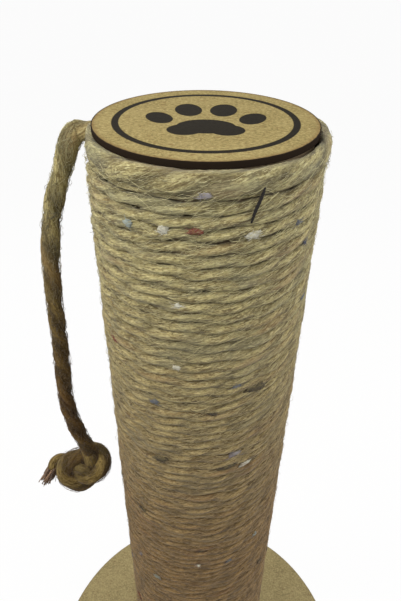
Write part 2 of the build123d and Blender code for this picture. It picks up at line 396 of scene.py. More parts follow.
def tuft_material():
    """Matted tufts of other fibres, each in its own colour."""
    graph = Graph("fibre_tuft")
    fuzz = graph.noise(graph.coordinates(), (700, 700, 2600), detail=3)
    tint = graph.attribute("tint", "Color")
    shade = graph.mix(graph.step(fuzz, 0.35, 0.7) * 0.55, tint, colours().jute)
    return graph.finish(Base_Color=shade, Roughness=0.9, Normal=graph.bump(fuzz, 0.0008))


def millimetres(graph):
    """The object coordinates X, Y and Z in millimetres, and the distance from the axis."""
    place = (graph.coordinates(),)
    x, y, z = (graph.node("ShaderNodeSeparateXYZ", {}, place, output=k) * 1000 for k in "XYZ")
    return x, y, z, (x * x + y * y) ** 0.5


def oval(graph, x, y, centre, half, turn):
    """1 inside an oval in millimetres, 0 outside, with a soft edge."""
    c, s = math.cos(math.radians(turn)), math.sin(math.radians(turn))
    across = ((x - centre[0]) * c + (y - centre[1]) * s) / half[0]
    along = ((y - centre[1]) * c - (x - centre[0]) * s) / half[1]
    soft = 0.35 / min(half)
    return graph.step(across * across + along * along, 1 + soft, 1 - soft)


def fibreboard_shade(graph, place, board):
    """Bare fibreboard: fine flecks and short fibres in a tan ground."""
    fine = graph.noise(place, (620, 620, 620), detail=4, roughness=0.75)
    cloud = graph.noise(place, (60, 60, 60), detail=2)
    chips = graph.noise(place, (260, 520, 400), detail=3)
    shade = graph.mix(graph.step(fine, 0.38, 0.58), tuple(0.60 * c for c in board), board)
    shade = graph.mix(graph.step(fine, 0.56, 0.68) * 0.5, shade, (0.60, 0.50, 0.26))
    shade = graph.mix(graph.step(cloud, 0.35, 0.7) * 0.25, shade, (0.50, 0.40, 0.18))
    shade = graph.mix(graph.step(chips, 0.58, 0.68) * 0.6, shade, (0.20, 0.12, 0.045))
    return shade, fine


def lid_material():
    """Bare fibreboard with a scorched edge and a printed paw inside a ring."""
    graph = Graph("lid_board")
    place = graph.coordinates()
    x, y, z, radius = millimetres(graph)
    shade, fine = fibreboard_shade(graph, place, colours().board)
    soft = 0.25
    inside, outside = RING
    ring = graph.step(radius, inside - soft, inside + soft)
    ring = ring * graph.step(radius, outside + soft, outside - soft)
    printed = sum((oval(graph, x, y, *each) for each in PAW), ring)
    artwork = graph.node("ShaderNodeMath", {"operation": "MINIMUM"}, (printed, 1.0))
    top = graph.step(z, LID_HIGH.z * 1000 - 0.35, LID_HIGH.z * 1000 - 0.15)
    shade = graph.mix(artwork * top * 0.97, shade, colours().print)
    wander = graph.noise(place, (300, 300, 300), detail=2)
    edge = graph.step(radius + wander * 0.5, LID_RADIUS * 1000 - 0.55, LID_RADIUS * 1000 - 0.1)
    warm = graph.step(radius + wander * 1.6, LID_RADIUS * 1000 - 2.4, LID_RADIUS * 1000 + 0.4)
    shade = graph.mix(warm * 0.55, shade, (0.20, 0.115, 0.045))
    shade = graph.mix(edge, shade, colours().scorch)
    return graph.finish(
        Base_Color=shade,
        Roughness=0.85,
        Specular_IOR_Level=0.04,
        Normal=graph.bump(fine - artwork * 0.6, 0.00018),
    )


def base_material():
    """Bare fibreboard of the base, a little darker at its sawn rim."""
    graph = Graph("base_board")
    place = graph.coordinates()
    radius = millimetres(graph)[3]
    shade, fine = fibreboard_shade(graph, place, colours().board)
    rim = BASE_HIGH.x * 1000
    sawn = graph.step(radius, rim - 1.6, rim - 0.2)
    shade = graph.mix(sawn * 0.45, shade, (0.20, 0.125, 0.055))
    return graph.finish(Base_Color=shade, Roughness=0.6, Normal=graph.bump(fine, 0.0002))


def wood_material():
    """Sawn plug wood with rings round the post's axis."""
    graph = Graph("plug_wood")
    place = graph.coordinates()
    _, y, _, radius = millimetres(graph)
    rings = graph.node("ShaderNodeMath", {"operation": "SINE"}, ((radius + y * 0.4) * 1.9,))
    grain = graph.noise(place, (900, 900, 60), detail=3)
    shade = graph.mix(graph.step(rings, -0.8, 0.9), (0.44, 0.30, 0.15), (0.60, 0.45, 0.26))
    shade = graph.mix(grain * 0.35, shade, (0.33, 0.21, 0.10))
    return graph.finish(Base_Color=shade, Roughness=0.7, Normal=graph.bump(grain, 0.0003))


def paper_material():
    """Spiral-wound paper tube: a faint helical seam over grey-brown board."""
    graph = Graph("paper_tube")
    place = graph.coordinates()
    x, y, z, _ = millimetres(graph)
    angle = graph.node("ShaderNodeMath", {"operation": "ARCTAN2"}, (y, x))
    seam = graph.node("ShaderNodeMath", {"operation": "SINE"}, (angle + z * 0.06,))
    pulp = graph.noise(place, (700, 700, 700), detail=3)
    shade = graph.mix(pulp, (0.27, 0.20, 0.125), (0.36, 0.27, 0.17))
    shade = graph.mix(graph.step(seam, 0.985, 1.0) * 0.6, shade, (0.15, 0.10, 0.06))
    return graph.finish(Base_Color=shade, Roughness=0.85, Normal=graph.bump(pulp, 0.0002))


@cache
def steel_material():
    """Zinc-plated steel with fine scratches."""
    graph = Graph("plated_steel")
    place = graph.coordinates()
    scratch = graph.noise(place, (300, 2200, 900), detail=3)
    shade = graph.mix(scratch, (0.46, 0.46, 0.44), (0.62, 0.62, 0.60))
    return graph.finish(
        Base_Color=shade,
        Metallic=1.0,
        Roughness=scratch * 0.25 + 0.25,
        Normal=graph.bump(scratch, 0.00006),
    )


def rubber_material():
    """Matt black rubber with a fine moulded grain."""
    graph = Graph("pad_rubber")
    grain = graph.noise(graph.coordinates(), (2200, 2200, 2200), detail=2)
    shade = graph.mix(grain, (0.018, 0.018, 0.018), (0.035, 0.034, 0.033))
    return graph.finish(Base_Color=shade, Roughness=0.75, Normal=graph.bump(grain, 0.0002))


# Meshes


def make_piece(name, points, quads, fans, material, smooth=True, **attributes):
    """An object at the origin with these points and faces, and its attributes on points."""
    mesh = bpy.data.meshes.new(name)
    corners = np.concatenate([quads.ravel(), fans.ravel()])
    counts = np.repeat([4, 3], [len(quads), len(fans)])
    mesh.vertices.add(len(points))
    mesh.vertices.foreach_set("co", points.astype(np.float32).ravel())
    mesh.loops.add(len(corners))
    mesh.loops.foreach_set("vertex_index", corners.astype(np.int32))
    mesh.polygons.add(len(counts))
    starts = np.concatenate([[0], np.cumsum(counts)[:-1]])
    mesh.polygons.foreach_set("loop_start", starts.astype(np.int32))
    mesh.polygons.foreach_set("use_smooth", np.full(len(counts), smooth))
    for key, values in attributes.items():
        kind, field = {1: ("FLOAT", "value"), 3: ("FLOAT_VECTOR", "vector")}[
            1 if values.ndim == 1 else values.shape[1]
        ]
        layer = mesh.attributes.new(key, kind, "POINT")
        layer.data.foreach_set(field, values.astype(np.float32).ravel())
    mesh.update()
    mesh.validate()
    mesh.materials.append(material)
    made = bpy.data.objects.new(name, mesh)
    bpy.context.scene.collection.objects.link(made)
    return made


def ring_faces(rings, sides):
    """Quads between the rings of a tube, and triangles of its two end fans.

    Point sides*i + j is point j of ring i. The two fan centres come after all the rings.
    Faces point outwards where each ring runs right-handed about the way along the tube.
    """
    here = np.arange(rings - 1)[:, None] * sides
    j = np.arange(sides)
    side = (j + 1) % sides
    quads = np.stack([here + j, here + side, here + sides + side, here + sides + j], axis=-1)
    first = np.stack([np.full(sides, rings * sides), side, j], axis=-1)
    end = (rings - 1) * sides
    last = np.stack([np.full(sides, rings * sides + 1), end + j, end + side], axis=-1)
    return quads.reshape(-1, 4), np.concatenate([first, last])


def smooth_noise(places, spacing, seed, size=4096):
    """Noise from -1 to 1 along a line: random knots a spacing apart, joined by smooth steps."""
    knots = np.random.default_rng(seed).uniform(-1, 1, size)
    u = np.asarray(places) / spacing
    whole = np.floor(u).astype(int)
    part = u - whole
    part = part * part * (3 - 2 * part)
    return knots[whole % size] * (1 - part) + knots[(whole + 1) % size] * part


def ply_outline(angles, offset, ply):
    """Radius of a two-strand rope's outline: the union of two circles either side of the middle.

    At an angle a from the line through both, the radius is offset*|cos a| plus the root of
    ply squared minus (offset*sin a) squared, as shares of the rope's own radius.
    """
    return offset * np.abs(np.cos(angles)) + np.sqrt(ply**2 - (offset * np.sin(angles)) ** 2)


def rope_rings(along, radius, lay, seed, sides=24, offset=0.22, ply=0.80, lumps=0.05, dark=1.2):
    """Outline points of a twisted two-strand rope in the plane across it.

    For a point a length s along the rope, its strands have turned by 2 pi s / lay, with a
    slow wander. Returns the two coordinates across, the fibre coordinates and the crest.
    """
    wander = 0.5 * smooth_noise(along, 0.05, seed) + 0.25 * smooth_noise(along, 0.013, seed + 1)
    phase = (2 * np.pi * along / lay + wander)[:, None]
    side = np.linspace(0, 2 * np.pi, sides, endpoint=False)[None, :]
    share = ply_outline(side, offset, ply)
    lump = smooth_noise(along[:, None] + 7.7 * np.cos(side), 0.009, seed + 2)
    reach = np.asarray(radius)[:, None] * share * (1 + lumps * lump)
    angle = side + phase
    across = np.stack([reach * np.cos(angle), reach * np.sin(angle)], axis=-1)
    loose = side + 0.45 * phase
    fibre = np.stack(
        [np.broadcast_to(along[:, None], reach.shape), reach * np.cos(loose), reach * np.sin(loose)],
        axis=-1,
    )
    # The crest runs from 0 in the groove between the strands to 1 on top; it is the mask for the painted shade in
    # the grooves.
    low, high = share.min(), share.max()
    crest = np.broadcast_to((share - low) / (high - low), reach.shape) ** dark
    return across, fibre, crest


def with_end_points(rings):
    """Points of all rings, followed by the middles of the first and the last."""
    flat = rings.reshape(-1, rings.shape[-1])
    return np.concatenate([flat, rings[:1].mean(axis=1), rings[-1:].mean(axis=1)])


def rope_piece(name, points, fibre, crest, material):
    """One closed tube of rope from its rings, with its fibre and crest values."""
    quads, fans = ring_faces(len(points), points.shape[1])
    return make_piece(
        name,
        with_end_points(points),
        quads,
        fans,
        material,
        fibre=with_end_points(fibre),
        crest=with_end_points(crest[..., None])[:, 0],
    )


HAIR_STEPS = 4
HAIR_SIDES = 3


def columns(random, count):
    """A function that draws a uniform number for each of so many fibres, as a column."""
    return lambda low, high: random.uniform(low, high, (count, 1))


def hair_points(lines, first, second, thin):
    """Rings round fibres: at an angle a, the line plus thin * (first cos a + second sin a)."""
    around = 2 * np.pi * np.arange(HAIR_SIDES)[:, None] / HAIR_SIDES
    ring = first[..., None, :] * np.cos(around) + second[..., None, :] * np.sin(around)
    return lines[..., None, :] + thin[..., None, None] * ring


def hair_piece(name, points, tint):
    """One object of many thin tubes, from their rings of points and a colour for each."""
    count, steps, sides = points.shape[:3]
    quads, fans = ring_faces(steps, sides)
    ends = np.stack([points[:, 0].mean(axis=1), points[:, -1].mean(axis=1)], axis=1)
    whole = np.concatenate([points.reshape(count, -1, 3), ends], axis=1)
    each = whole.shape[1]
    shift = (np.arange(count) * each)[:, None, None]
    piece = make_piece(
        name,
        whole.reshape(-1, 3),
        (quads[None] + shift).reshape(-1, 4),
        (fans[None] + shift).reshape(-1, 3),
        fibre_material(),
        tint=np.repeat(tint, each, axis=0),
    )
    return piece


# Winding: its pieces, the rope's sides and step along it in metres, the angle of its first
# turn, the share of a turn that thins out at each end, and its place above and below

WINDING_PARTS = 3
WOUND_SIDES = 12
WOUND_STEP = 0.0018
FIRST_ANGLE = math.radians(-15)
THIN_TURN = 0.93
FIRST_BELOW = 0.0028
BASE_GAP = 0.0002


def winding_line(turns):
    """Height and rope radius of the winding after a number of turns.

    The height falls by one pitch a turn. In the turn before the first and the turn after the
    last, the rope thins out to fill the wedge between the helix and the turn above or below.
    """
    pitch, rope = sizes().winding_pitch, sizes().winding_rope / 2
    ceiling = WRAP_HEIGHT - TAIL_RADIUS
    floor = BASE_HIGH.z + BASE_GAP
    top = WINDING_HIGH.z - FIRST_BELOW
    whole = (top - floor - pitch / 2) / pitch
    wedge_top = ceiling - top - rope + pitch * (turns + 1)
    wedge_bottom = pitch * (whole + 1 - turns)
    height = top - pitch * turns
    height = np.where(turns < 0, ceiling - wedge_top / 2, height)
    height = np.where(turns > whole, floor + wedge_bottom / 2, height)
    radius = np.minimum(rope, np.minimum(wedge_top, wedge_bottom) / 2)
    return height, radius, whole


def winding_points(part):
    """The part's share of the wound rope, on its helix round the tube.

    A point lies at the helix radius plus its outward share, at its height plus its upward
    share. The helix wanders up and down, in and out, and swells and thins along the rope.
    """
    whole = winding_line(np.zeros(1))[2]
    first, last = -THIN_TURN, whole + THIN_TURN
    share = (last - first) / WINDING_PARTS
    begin, end = first + share * part, first + share * (part + 1)
    helix = CORE_RADIUS + TUBE_GAP + sizes().winding_rope / 2
    count = int((end - begin) * 2 * math.pi * helix / WOUND_STEP)
    turns = np.linspace(begin, end, count)
    along = turns * 2 * math.pi * helix + 1.0
    height, radius, _ = winding_line(turns)
    angle = FIRST_ANGLE - 2 * np.pi * turns
    swell = 1 + 0.07 * smooth_noise(along, 0.022, 11) + 0.05 * smooth_noise(along, 0.11, 12)
    full = radius / (sizes().winding_rope / 2)
    shift = 0.00055 * smooth_noise(along, 0.035, 13) + 0.0003 * smooth_noise(along, 0.012, 14)
    wave = 0.0009 * np.sin(angle + height * 21) + 0.0006 * np.sin(2 * angle - height * 37 + 1.3)
    edges = np.clip((WINDING_HIGH.z - 0.006 - height) / 0.03, 0, 1)
    edges = edges * np.clip((height - BASE_HIGH.z - 0.006) / 0.03, 0, 1)
    height = height + (shift + wave * edges) * np.clip(full, 0, 1)
    depth = helix + 0.0004 * smooth_noise(along, 0.028, 15) - (1 - full) * 0.0006
    lay = -sizes().winding_lay
    across, fibre, crest = rope_rings(
        along, radius * swell, lay, 20, sides=WOUND_SIDES, offset=0.30, ply=0.72, dark=0.7
    )
    out = np.maximum(across[..., 0] * 0.97, -(helix - CORE_RADIUS) + TUBE_GAP)
    up = across[..., 1] * 1.03
    reach = depth[:, None] + out
    points = np.stack(
        [reach * np.cos(angle)[:, None], reach * np.sin(angle)[:, None], height[:, None] + up],
        axis=-1,
    )
    # Painted shade: the crest is brought down on the side of the wound rope that faces the tube, between the
    # turns.
    facing = np.clip(0.35 + out / 0.0034, 0, 1)
    return points, fibre, crest * 0.5 * facing + 0.5 * facing


def build_winding():
    """The whole wound rope, in parts that follow on each other."""
    material = rope_material("winding_rope")
    pieces = [
        rope_piece(f"wound_rope_{part + 1}", *winding_points(part), material)
        for part in range(WINDING_PARTS)
    ]
    for piece in pieces:
        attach(piece, "post")
    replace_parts(pieces[0], "rope_winding")


# Route of the tail and its knot, in metres, with the knot's centre from the lid's face

KNOT_RING = 0.011
KNOT_TWIST = 0.0051
KNOT_CENTRE = Vector((-0.0905, 0.0085, -0.266))
KNOT_LEAN = math.radians(30)
KNOT_TILT = math.radians(52.6)
KNOT_ROUND = math.radians(720)
KNOT_OPEN = math.radians(60)
KNOT_STEPS = 24
KNOT_END_BEND = 0.008
KNOT_ROPE = 0.160
TAIL_STEP = 0.0009
TAIL_SEED = 33
TAIL_LUMPS = 0.08
EXIT_STEP = 0.0008


def knot_axes():
    """The knot's own three directions: up, across and out."""
    up = Vector((0, math.sin(KNOT_TILT), math.cos(KNOT_TILT)))
    right = Vector((1, 0, 0))
    return (
        up * math.cos(KNOT_LEAN) - right * math.sin(KNOT_LEAN),
        right * math.cos(KNOT_LEAN) + up * math.sin(KNOT_LEAN),
        Vector((0, -math.cos(KNOT_TILT), math.sin(KNOT_TILT))),
    )


def knot_points():
    """Points of an overhand knot: a curve that goes twice round while it turns three times."""
    up, across, out = knot_axes()
    middle = KNOT_CENTRE + Vector((0, 0, LID_HIGH.z))
    points = []
    for k in range(KNOT_STEPS + 1):
        angle = KNOT_OPEN + (KNOT_ROUND - 2 * KNOT_OPEN) * k / KNOT_STEPS
        radius = KNOT_RING + KNOT_TWIST * math.cos(1.5 * angle)
        points.append(
            middle
            + up * radius * math.cos(angle)
            + across * radius * math.sin(angle)
            + out * KNOT_TWIST * math.sin(1.5 * angle)
        )
    bend = points[-1] + (up - across) * KNOT_END_BEND
    tip = bend - (up * 0.8 + across * 0.9) * KNOT_END_BEND
    return points + [bend, tip]


def spline_points(name, points, spacing):
    """Even points on a NURBS spline of order three through its two end points.

    The spline is read back as Blender draws it, then divided evenly by its length.
    """
    curve = bpy.data.curves.new(name, "CURVE")
    curve.dimensions = "3D"
    curve.resolution_u = 24
    spline = curve.splines.new("NURBS")
    spline.points.add(len(points) - 1)
    spline.points.foreach_set("co", np.array([(*p, 1) for p in points], np.float32).ravel())
    spline.order_u = 3
    spline.use_endpoint_u = True
    holder = bpy.data.objects.new(name, curve)
    bpy.context.scene.collection.objects.link(holder)
    bpy.context.view_layer.update()
    mesh = bpy.data.meshes.new_from_object(holder)
    line = np.zeros(len(mesh.vertices) * 3, np.float32)
    mesh.vertices.foreach_get("co", line)
    line = line.reshape(-1, 3).astype(float)
    bpy.data.objects.remove(holder)
    bpy.data.meshes.remove(mesh)
    run = np.concatenate([[0], np.cumsum(np.linalg.norm(np.diff(line, axis=0), axis=1))])
    even = np.linspace(0, run[-1], int(run[-1] / spacing) + 1)
    return np.stack([np.interp(even, run, line[:, k]) for k in range(3)], axis=-1), even


def carried_frames(line):
    """Two directions across a line at each of its points, carried along with no twist."""
    ways = np.gradient(line, axis=0)
    ways /= np.linalg.norm(ways, axis=1)[:, None]

    def carry(side, way):
        """The side made square to the way: less the way times their dot product."""
        side = side - way * (side @ way)
        return side / np.linalg.norm(side)

    start = carry(np.array([0.0, 1.0, 0.0]), ways[0])
    sides = np.array(list(accumulate(ways[1:], carry, initial=start)))
    return sides, np.cross(ways, sides)


def rope_along(line, along, radius, lay, seed, **shape):
    """Points of a twisted rope carried along a line, with its fibre and crest values."""
    across, fibre, crest = rope_rings(along, radius, lay, seed, **shape)
    sides, others = carried_frames(line)
    points = (
        line[:, None, :]
        + across[..., :1] * sides[:, None, :]
        + across[..., 1:] * others[:, None, :]
    )
    return points, fibre, crest


def bend_tail(piece):
    """Bakes the transform of a piece of the tail into its mesh."""
    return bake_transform(piece)


def build_tail():
    """The tail from the rim to its cut end, one rope along the route and through its knot."""
    route = [Vector((x, y, LID_HIGH.z - below)) for x, y, below in TAIL_ROUTE]
    start = SWING + Vector((EXIT_STEP, 0, 0))
    shoulder = SWING + Vector((-0.0038, 0, -0.0012))
    points = [start, shoulder, *route, *knot_points()]
    line, along = spline_points("tail_line", points, TAIL_STEP)
    knot_start = along[-1] - KNOT_ROPE
    inside = np.clip((along - knot_start) / 0.018, 0, 1)
    inside = inside * np.clip((along[-1] - 0.012 - along) / 0.016, 0, 1)
    exit_swell = np.clip(1 - along / 0.030, 0, 1)
    swell = 1.16 + 0.05 * smooth_noise(along, 0.02, 31) + 0.37 * inside + 0.10 * exit_swell
    taper = np.clip((along[-1] - along) / 0.003, 0, 1) ** 0.5
    radius = TAIL_RADIUS * swell * (0.6 + 0.4 * taper)
    made = rope_along(line, along, radius, -sizes().tail_lay, TAIL_SEED, lumps=TAIL_LUMPS)
    fibres = build_tail_fuzz(line, along, radius)
    piece = rope_piece("tail", *made, rope_material("tail_rope", tail=True))
    fray = build_fray(line[-1], line[-1] - line[-8])
    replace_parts(bend_tail(piece), "tail_rope", "tail_bend")


def build_fray(tip, way):
    """The frayed fibres of a cut end: thin tubes that fan out of it and hang down.

    A fibre leaves the end along the rope, spreads by its own angle and droops by a share of
    its length squared.
    """
    random = np.random.default_rng(37)
    count, steps = 200, 5
    u = np.linspace(0, 1, steps)[None, :, None]
    way = way / np.linalg.norm(way)
    spread = random.normal(0, 0.20, (count, 1, 3))
    root = tip - way * 0.003 + random.normal(0, 0.0019, (count, 1, 3))
    length = random.uniform(0.0045, 0.0085, (count, 1, 1))
    lines = root + length * (u * (way + spread) + u * u * np.array((-0.12, 0, -0.45)))
    thin = random.uniform(0.00040, 0.00075, (count, 1, 1)) * (1 - 0.4 * u)
    turned = np.array(Vector((0, 1, 0)).rotation_difference(Vector(way)).to_matrix())
    points = hair_points(lines, turned[:, 0], -turned[:, 2], thin[..., 0])
    pale = np.array((0.46, 0.34, 0.20))
    tint = pale * random.uniform(0.25, 1.0, (count, 1))
    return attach(hair_piece("tail_fray", points, tint), "tail")


def build_tail_fuzz(line, along, radius):
    """Loose fibres along the tail and its knot, each lying along the rope and a little off it.

    A fibre starts at a random place on the rope, goes on along it by its reach, round it by
    its turn, and stands off by its lift times sin(pi u).
    """
    random = np.random.default_rng(61)
    count = 4200
    draw = columns(random, count)
    u = np.linspace(0, 1, HAIR_STEPS)[None, :]
    first = draw(0.0, along[-1] - 0.006)
    reach = draw(-0.008, 0.008)
    place = np.clip(first + reach * u, 0.0, along[-1] - 0.002)
    angle = draw(0, 2 * np.pi) + draw(-0.9, 0.9) * u
    lift = (random.exponential(0.0003, (count, 1)) + 0.00005).clip(0, 0.0022)
    off = np.interp(place, along, radius) * 0.97 + lift * np.sin(np.pi * u)
    sides_way, others = carried_frames(line)

    def at(values):
        """Values of the tail's points, read at the fibres' places along it."""
        return np.stack([np.interp(place, along, values[:, k]) for k in range(3)], axis=-1)

    outward = at(sides_way) * np.cos(angle)[..., None] + at(others) * np.sin(angle)[..., None]
    middle = at(line) + outward * off[..., None]
    across = np.cross(at(np.gradient(line, axis=0)) * np.sign(reach)[..., None], outward)
    across /= np.linalg.norm(across, axis=-1, keepdims=True)
    thin = draw(0.00008, 0.00018) * (1 - 0.6 * u)
    # Painted shade: fibres that start further along the tail are darker and browner, as on the tail rope.
    deep = np.clip(first / 0.13, 0, 1)
    tint = np.array(colours().highlight) * draw(0.15, 0.9) * (1 - deep * (0.55, 0.65, 0.75))
    points = hair_points(middle, outward, across, thin)
    return bend_tail(hair_piece("tail_fibres", points, tint))


def build_root():
    """The stretch of tail that comes out under the rim, as twisted as the tail itself.

    It follows the rope's line backwards from the swing point into the post, so that its
    strands meet the tail's.
    """
    ends = [(-0.0440, 0.0150), (-0.0520, 0.0105), (-0.0575, 0.0087), (-0.0640, 0.0085)]
    points = [Vector((x, y, WRAP_HEIGHT)) for x, y in ends]
    line, along = spline_points("root_line", points, TAIL_STEP)
    along = along - along[-1] + SWING.x + EXIT_STEP - ends[-1][0]
    radius = np.full(len(along), TAIL_RADIUS * 1.24)
    made = rope_along(line, along, radius, -sizes().tail_lay, TAIL_SEED, lumps=TAIL_LUMPS)
    made[0][..., 2] = np.minimum(made[0][..., 2], LID_LOW.z - LID_GAP)
    piece = rope_piece("tail_exit", *made, rope_material("tail_rope", tail=True))
    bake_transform(piece)
    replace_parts(piece, "tail_root")


# The top turn's opening: its half width, and how far its middle lies from -X, in radians
OPENING_SIDE = math.radians(6)
OPENING_TURN = 0.15
TOP_TURN_STEP = 0.0012
# Shares of its round section's width and height that are left when it is pressed to the post
PRESSED_WIDTH = 0.70
PRESSED_HEIGHT = 1.40


def build_top_turn():
    """The thick turn of rope close under the lid, open where the tail comes out."""
    count = int(2 * math.pi * WRAP_RADIUS / TOP_TURN_STEP)
    begin = math.pi + OPENING_SIDE - OPENING_TURN
    end = 3 * math.pi - OPENING_SIDE - OPENING_TURN
    angle = np.linspace(begin, end, count)
    line = np.stack(
        [
            (WRAP_RADIUS + 0.0002) * np.cos(angle),
            (WRAP_RADIUS + 0.0002) * np.sin(angle),
            np.full(count, WRAP_HEIGHT),
        ],
        axis=-1,
    )
    along = (angle - angle[0]) * WRAP_RADIUS
    radius = TAIL_RADIUS * (1.0 + 0.06 * smooth_noise(along, 0.02, 52))
    made = rope_along(line, along, radius, -sizes().tail_lay, 53, offset=0.18, ply=0.83)
    points = made[0]
    reach = np.hypot(points[..., 0], points[..., 1])
    middle = (WRAP_RADIUS - 0.0012 + 0.0011 * np.cos(angle))[:, None]
    pressed = middle + (reach - WRAP_RADIUS) * PRESSED_WIDTH
    points[..., :2] *= (pressed / reach)[..., None]
    points[..., 2] = WRAP_HEIGHT + 0.0010 + (points[..., 2] - WRAP_HEIGHT) * PRESSED_HEIGHT
    points[..., 2] = np.minimum(points[..., 2], LID_LOW.z - LID_GAP)
    piece = rope_piece("top_turn", *made, rope_material("top_turn_rope"))
    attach(piece, "post")
    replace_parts(piece, "top_wrap")


# The staples' angles round the post in degrees, the length of a leg, half the back and the
# wire's radius
STAPLE_ANGLES = (186.6, 155.7)
STAPLE_LEG = 0.020
STAPLE_HALF = 0.0044
STAPLE_WIRE = 0.0005
STAPLE_STEP = 0.0008


def build_staples():
    """The two staples, their backs bedded in the soft rope of the top turn.

    Each is a wire from one leg's point out to the back, down across the rope and in again.
    """
    material = steel_material()
    for number, degrees in enumerate(STAPLE_ANGLES, start=1):
        way = Vector((math.cos(math.radians(degrees)), math.sin(math.radians(degrees)), 0))
        back = WRAP_RADIUS + 0.0002
        corners = [(-STAPLE_LEG, 1), (-0.004, 1), (0, 1), (0, -1), (-0.004, -1), (-STAPLE_LEG, -1)]
        points = [
            way * (back + x) + Vector((0, 0, WRAP_HEIGHT + STAPLE_HALF * z)) for x, z in corners
        ]
        line, along = spline_points(f"staple_line_{number}", points, STAPLE_STEP)
        radius = np.full(len(along), STAPLE_WIRE)
        made = rope_along(line, along, radius, 1.0, 57, offset=0.01, ply=0.99)
        piece = rope_piece(f"staple_{number}", *made, material)
        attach(piece, "post")
        if number == 1:
            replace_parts(piece, "wrap_staples")


# Fuzz and tufts


NEAR_SURFACE = 0.057


def surface_place(angle, below, depth=0.0):
    """A point on the winding's outside: angle from the front to the right, metres below."""
    reach = CORE_RADIUS + TUBE_GAP + sizes().winding_rope - depth
    turn = np.radians(angle)
    return np.stack([reach * np.sin(turn), -reach * np.cos(turn), LID_HIGH.z - below], axis=-1)


FUZZ_PARTS = 6
OPENING_ANGLE = math.radians(171)
OPENING_HALF = 0.3


def build_fuzz():
    """Loose fibres: thin three-sided tubes along shallow arcs that lift off the winding.

    Along a fibre from 0 to 1, its height above the surface is lift times sin(pi u), it goes
    round by its reach times u, and bends up or down by its slope times u and curl times u^2.
    """
    for part in range(FUZZ_PARTS):
        random = np.random.default_rng(71 + part)
        count = sizes().fuzz_hairs // FUZZ_PARTS
        draw = columns(random, count)
        u = np.linspace(0, 1, HAIR_STEPS)[None, :]
        angle, height = draw(0, 2 * np.pi), draw(BASE_HIGH.z + 0.002, WRAP_HEIGHT + 0.003)
        reach, way = draw(0.002, 0.010), np.sign(draw(-1, 1))
        slope = 0.3 * way + random.normal(0, 0.25, (count, 1))
        curl = random.normal(0, 0.3, (count, 1))
        lift = (random.exponential(0.00035, (count, 1)) + 0.0001).clip(0, 0.0030)
        at_top = np.clip((height - WRAP_HEIGHT + 0.0065) / 0.003, 0, 1)
        opening = (at_top > 0) & (np.abs(angle - OPENING_ANGLE) < OPENING_HALF)
        height = np.where(opening, height - 0.03, height)
        at_top = np.where(opening, 0, at_top)
        base = CORE_RADIUS + sizes().winding_rope - 0.0007
        base = base + (0.0002 + 0.0011 * np.cos(angle)) * at_top
        radial = base + lift * np.sin(np.pi * u) ** 0.8
        turn = angle + way * reach * u / base
        rise = height + reach * (slope * u + curl * u * u)
        rise = rise.clip(BASE_HIGH.z + 0.0004, LID_LOW.z - 0.0004)
        thin = draw(0.00007, 0.00015) * (1 - 0.6 * u)
        outward = np.stack([np.cos(turn), np.sin(turn), 0 * turn], axis=-1)
        lines = outward * radial[..., None]
        lines[..., 2] = rise
        points = hair_points(lines, outward, way[..., None] * (0, 0, -1), thin)
        dark, pale = np.array(colours().jute) * 0.5, np.array(colours().highlight)
        tint = dark + (pale - dark) * draw(0, 1)
        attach(hair_piece(f"loose_fibres_{part + 1}", points, tint), "post")


def random_tufts():
    """Small tufts all round the post, away from the front, as a recycled rope has them."""
    random = np.random.default_rng(81)
    names = ["white", "white", "grey_blue", "dark", "dark", "lilac", "pale_blue", "red"]
    found = []
    for _ in range(110):
        angle = random.uniform(-180, 180)
        below = random.uniform(0.02, 0.56)
        wide, high = random.uniform(0.002, 0.006), random.uniform(0.0012, 0.0028)
        name = names[random.integers(len(names))]
        if abs(angle) > 70 or below > 0.2:
            found.append((angle, below, wide, high, name))
    return found


def build_tufts():
    """Matted tufts of coloured fibre: flattened lumpy balls bedded in the winding.

    A tuft is a ball of 10 by 6 faces, its radius changed by noise, drawn out along the rope
    and flattened against the post.
    """
    random = np.random.default_rng(91)
    rows, sides = 7, 10
    lat = np.linspace(0.25, np.pi - 0.25, rows)[:, None]
    lon = np.linspace(0, 2 * np.pi, sides, endpoint=False)[None, :]
    ball = np.stack(
        [np.cos(lat) + 0 * lon, np.sin(lat) * np.cos(lon), np.sin(lat) * np.sin(lon)], axis=-1
    )
    quads, fans = ring_faces(rows, sides)
    all_points, all_quads, all_fans, tints = [], [], [], []
    for angle, below, wide, high, name in TUFTS + random_tufts():
        lump = 1 + random.uniform(-0.35, 0.35, (rows, sides, 1))
        shape = with_end_points(ball * lump) * (-wide / 2, high / 2, 0.0010)
        tilt = math.radians(random.normal(8, 10))
        along = shape[:, 0] * math.cos(tilt) - shape[:, 1] * math.sin(tilt)
        up = shape[:, 0] * math.sin(tilt) + shape[:, 1] * math.cos(tilt)
        spot = surface_place(np.degrees(along / NEAR_SURFACE) + angle, below - up, 0.0008)
        outward = spot * (1, 1, 0) / np.linalg.norm(spot[:, :2], axis=1)[:, None]
        shift = sum(len(p) for p in all_points)
        all_points.append(spot + outward * shape[:, 2:])
        all_quads.append(quads + shift)
        all_fans.append(fans + shift)
        tints.append(np.tile(TUFT_COLOURS[name], (len(shape), 1)))
    piece = make_piece(
        "coloured_tufts",
        np.concatenate(all_points),
        np.concatenate(all_quads),
        np.concatenate(all_fans),
        tuft_material(),
        tint=np.concatenate(tints),
    )
    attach(piece, "post")


